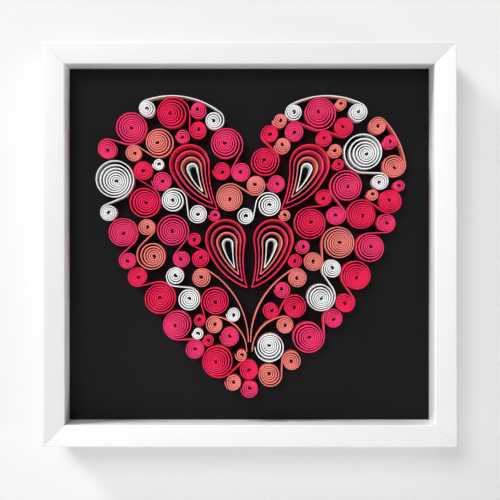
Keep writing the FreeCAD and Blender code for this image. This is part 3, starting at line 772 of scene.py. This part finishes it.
def makeRibbon(name, paths, colour):
    # the lines lie on the card; they are extruded to the front, made uneven there and thickened
    vertices, edges, sinks, breadths = [], [], [], []
    phase, tone = draw.uniform(*stripLook["phaseRange"]), draw.uniform(0, 1)
    for path in paths:
        first, along = len(vertices), 0
        for index, (x, z, sink, across) in enumerate(path):
            along += distance(path[index - 1], (x, z)) if index else 0
            breadths.append(across / stripLook["thickness"])
            wave = math.sin(2 * math.pi * along / stripLook["waveLength"] + phase)
            wave *= math.sin(along / stripLook["beatLength"] + 2 * phase)
            vertices.append((x * mm, cardFront, tipHeight + z * mm))
            sinks.append(sink + stripLook["wave"] * (0.5 + 0.5 * wave))
        edges += [(first + index, first + index + 1) for index in range(len(path) - 1)]
    mesh = bpy.data.meshes.new(name)
    mesh.from_pydata(vertices, edges, [])
    for attribute, values in (("sink", sinks), ("across", breadths)):  # extruded with their points
        mesh.attributes.new(attribute, "FLOAT", "POINT").data.foreach_set("value", values)
    ribbon = bpy.data.objects.new(name, mesh)
    scene.collection.objects.link(ribbon)
    selectOnly(ribbon)
    bpy.ops.object.mode_set(mode="EDIT")
    bpy.ops.mesh.select_all(action="SELECT")
    forward = (0, -stripLook["height"] * mm, 0)
    bpy.ops.mesh.extrude_region_move(TRANSFORM_OT_translate={"value": forward})
    bpy.ops.object.mode_set(mode="OBJECT")
    for vertex, sink in zip(mesh.vertices, mesh.attributes["sink"].data):
        if vertex.co.y < halfway:
            vertex.co.y += sink.value * mm
    broad = ribbon.vertex_groups.new(name="broad")
    for index, share in enumerate([item.value for item in mesh.attributes["across"].data]):
        broad.add([index], share, "REPLACE")
    for attribute in ("sink", "across"):
        mesh.attributes.remove(mesh.attributes[attribute])
    tones = mesh.attributes.new("tone", "FLOAT", "POINT")
    tones.data.foreach_set("value", [tone] * len(mesh.vertices))
    solidify = ribbon.modifiers.new("thickness", "SOLIDIFY")
    solidify.thickness = stripLook["thickness"] * mm
    solidify.offset = 0
    solidify.vertex_group = "broad"
    solidify.use_even_offset = True
    solidify.use_rim = True
    # the rims, that is the cut edges, take the second copy, the one painted paler as a highlight
    solidify.material_offset_rim = 1
    for material in papers[colour]:
        mesh.materials.append(material)
    bpy.ops.object.modifier_apply(modifier="thickness")
    bpy.ops.object.shade_smooth_by_angle(angle=stripLook["smoothAngle"])
    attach(ribbon, "root")
    return ribbon


def flareDrop(ribbon, foot, head):
    # a drop opens a little to the front: its card end is drawn in, most at the top of the head
    length = distance(foot, head)
    for vertex in ribbon.data.vertices:
        if vertex.co.y > halfway:
            place = (vertex.co.x / mm, (vertex.co.z - tipHeight) / mm)
            inward = stripLook["flare"] * min(distance(place, foot) / length, 1) ** 2
            x, z = polar(place, inward, heading(place, head))
            vertex.co.x, vertex.co.z = x * mm, tipHeight + z * mm


for colour, name, foot, head, radius, side in drops:
    nodeName = f"{colour}_drop_{name}"
    drop = makeRibbon(f"paper_{nodeName}", [dropPoints(foot, head, radius, side)], colour)
    flareDrop(drop, foot, head)
    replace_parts(drop, nodeName)
for strip in heart.strips:
    if strip.name:
        nodeName = f"{strip.colour}_{strip.name}"
        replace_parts(makeRibbon(f"paper_{nodeName}", [stripPoints(strip)], strip.colour), nodeName)
for colour in papers:  # the small strips of a colour are one piece
    small = [strip for strip in heart.strips if strip.colour == colour and not strip.name]
    paths = [stripPoints(strip) for strip in small]
    nodeName = f"small_{colour}_coils"
    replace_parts(makeRibbon(f"paper_{nodeName}", paths, colour), nodeName)
print("paper strips rolled")


# Stage: a pale wall behind the frame and a floor far below it

stagePlan = {
    "wall": (0.8, 0.8, 0.797),
    "wallSize": 3.2,
    "wallGap": 0.0004,
    "floor": (0.9, 0.9, 0.895),
    "floorCloud": 3,
    "floorTone": 0.985,
    "floorRoughness": 0.9,
    "floorSize": 6.4,
    "floorDrop": 0.7,
}


def wallMaterial():
    # only its face to the room shows, and only to the camera: the frame's back stays in the light
    material = bpy.data.materials.new("wallPaint")
    material.use_nodes = True
    tree = material.node_tree
    tree.nodes.clear()
    output = tree.nodes.new("ShaderNodeOutputMaterial")
    paint = tree.nodes.new("ShaderNodeBsdfDiffuse")
    paint.inputs["Color"].default_value = (*stagePlan["wall"], 1)
    unseen = tree.nodes.new("ShaderNodeBsdfTransparent")
    mix = tree.nodes.new("ShaderNodeMixShader")
    path = tree.nodes.new("ShaderNodeLightPath")
    side = tree.nodes.new("ShaderNodeNewGeometry")
    facing = tree.nodes.new("ShaderNodeMath")
    facing.operation = "SUBTRACT"
    facing.use_clamp = True
    tree.links.new(path.outputs["Is Camera Ray"], facing.inputs[0])
    tree.links.new(side.outputs["Backfacing"], facing.inputs[1])
    tree.links.new(facing.outputs["Value"], mix.inputs["Fac"])
    tree.links.new(unseen.outputs["BSDF"], mix.inputs[1])
    tree.links.new(paint.outputs["BSDF"], mix.inputs[2])
    tree.links.new(mix.outputs["Shader"], output.inputs["Surface"])
    return material


def floorMaterial():
    material, tree, shader, where = newMaterial("floorPaint")
    cloud = addNoise(tree, where, stagePlan["floorCloud"], detail=2)
    colour = stagePlan["floor"]
    base = addRamp(tree, cloud, shade(colour, stagePlan["floorTone"]), colour)
    tree.links.new(base, shader.inputs["Base Color"])
    shader.inputs["Roughness"].default_value = stagePlan["floorRoughness"]
    return material


middleHeight = (cadBox[0][2] + cadBox[1][2]) / 2
bpy.ops.object.select_all(action="DESELECT")
bpy.ops.mesh.primitive_plane_add(size=stagePlan["wallSize"], rotation=(math.pi / 2, 0, 0),
                                 location=(0, cadBox[1][1] + stagePlan["wallGap"], middleHeight))
wall = bpy.context.object
wall.name = "stageWall"
wall.data.materials.append(wallMaterial())
bpy.ops.mesh.primitive_plane_add(size=stagePlan["floorSize"],
                                 location=(0, 0, -stagePlan["floorDrop"]))
floor = bpy.context.object
floor.name = "stageFloor"
floor.data.materials.append(floorMaterial())
print("stage set")


# Light: a soft key in front, a far lamp high at the left, a fill low at the right,
# one behind the frame and an even room

lamps = {
    "key": {"place": (-0.6, -1.45, 0.88), "size": 0.6, "power": 11.2},
    # along the picture, onto the walls of the recess and of the paper
    "graze": {"place": (-2.4, -0.6, 2.64), "size": 0.75, "power": 112},
    "fill": {"place": (2.4, -0.42, -0.5), "size": 0.6, "power": 20},
    "back": {"place": (0.9, 1.5, 1.0), "size": 0.9, "power": 12},
}

room = {
    "light": (1, 1, 1),
    "strength": 0.415,
    "backdrop": (0.97, 0.97, 0.968),
}


def addLamp(name, place, size, power):
    bpy.ops.object.light_add(type="AREA", location=place)
    lamp = bpy.context.object
    lamp.name = name
    lamp.data.size = size
    lamp.data.energy = power
    aim = bpy.data.objects.new(f"{name}Aim", None)
    aim.location = (0, 0, middleHeight)
    scene.collection.objects.link(aim)
    track = lamp.constraints.new("TRACK_TO")
    track.target = aim
    track.track_axis = "TRACK_NEGATIVE_Z"
    track.up_axis = "UP_Y"


for name, lamp in lamps.items():
    addLamp(f"{name}Lamp", **lamp)

world = bpy.data.worlds.new("paleRoom")
scene.world = world
world.use_nodes = True
worldTree = world.node_tree
worldTree.nodes.clear()
worldOut = worldTree.nodes.new("ShaderNodeOutputWorld")
roomLight = worldTree.nodes.new("ShaderNodeBackground")
roomLight.inputs["Color"].default_value = (*room["light"], 1)
roomLight.inputs["Strength"].default_value = room["strength"]
backdrop = worldTree.nodes.new("ShaderNodeBackground")
backdrop.inputs["Color"].default_value = (*room["backdrop"], 1)
backdrop.inputs["Strength"].default_value = 1
rays = worldTree.nodes.new("ShaderNodeLightPath")
worldMix = worldTree.nodes.new("ShaderNodeMixShader")
seen = rays.outputs["Is Camera Ray"]
for kind in ("Is Glossy Ray", "Is Transmission Ray"):  # the steel mirrors the backdrop too
    either = worldTree.nodes.new("ShaderNodeMath")
    either.operation = "MAXIMUM"
    worldTree.links.new(seen, either.inputs[0])
    worldTree.links.new(rays.outputs[kind], either.inputs[1])
    seen = either.outputs["Value"]
worldTree.links.new(seen, worldMix.inputs["Fac"])
worldTree.links.new(roomLight.outputs["Background"], worldMix.inputs[1])
worldTree.links.new(backdrop.outputs["Background"], worldMix.inputs[2])
worldTree.links.new(worldMix.outputs["Shader"], worldOut.inputs["Surface"])
scene.view_settings.view_transform = "Standard"
print("lights set")


# Camera: straight on, half a metre from the frame's front, where the photograph was taken from

view = {
    "distance": 0.5,
    "field": 0.3082,  # what 500 pixels cover at the frame's front
    "sensor": 36,
    "axis": (233, 238),  # pixel that the camera points at
    "centre": (249.7, 244.4),  # pixel of the frame's middle
    "picture": 500,
    "clip": (0.01, 20),
}

metresPerPixel = view["field"] / view["picture"]
bpy.ops.object.camera_add(rotation=(math.pi / 2, 0, 0))
camera = bpy.context.object
camera.name = "frontCamera"
camera.data.sensor_width = view["sensor"]
camera.data.lens = view["sensor"] * view["distance"] / view["field"]
camera.location = ((view["axis"][0] - view["centre"][0]) * metresPerPixel,
                   cadBox[0][1] - view["distance"],
                   middleHeight + (view["centre"][1] - view["axis"][1]) * metresPerPixel)
camera.data.shift_x = 0.5 - view["axis"][0] / view["picture"]
camera.data.shift_y = view["axis"][1] / view["picture"] - 0.5
camera.data.clip_start, camera.data.clip_end = view["clip"]
scene.camera = camera
print("camera set")
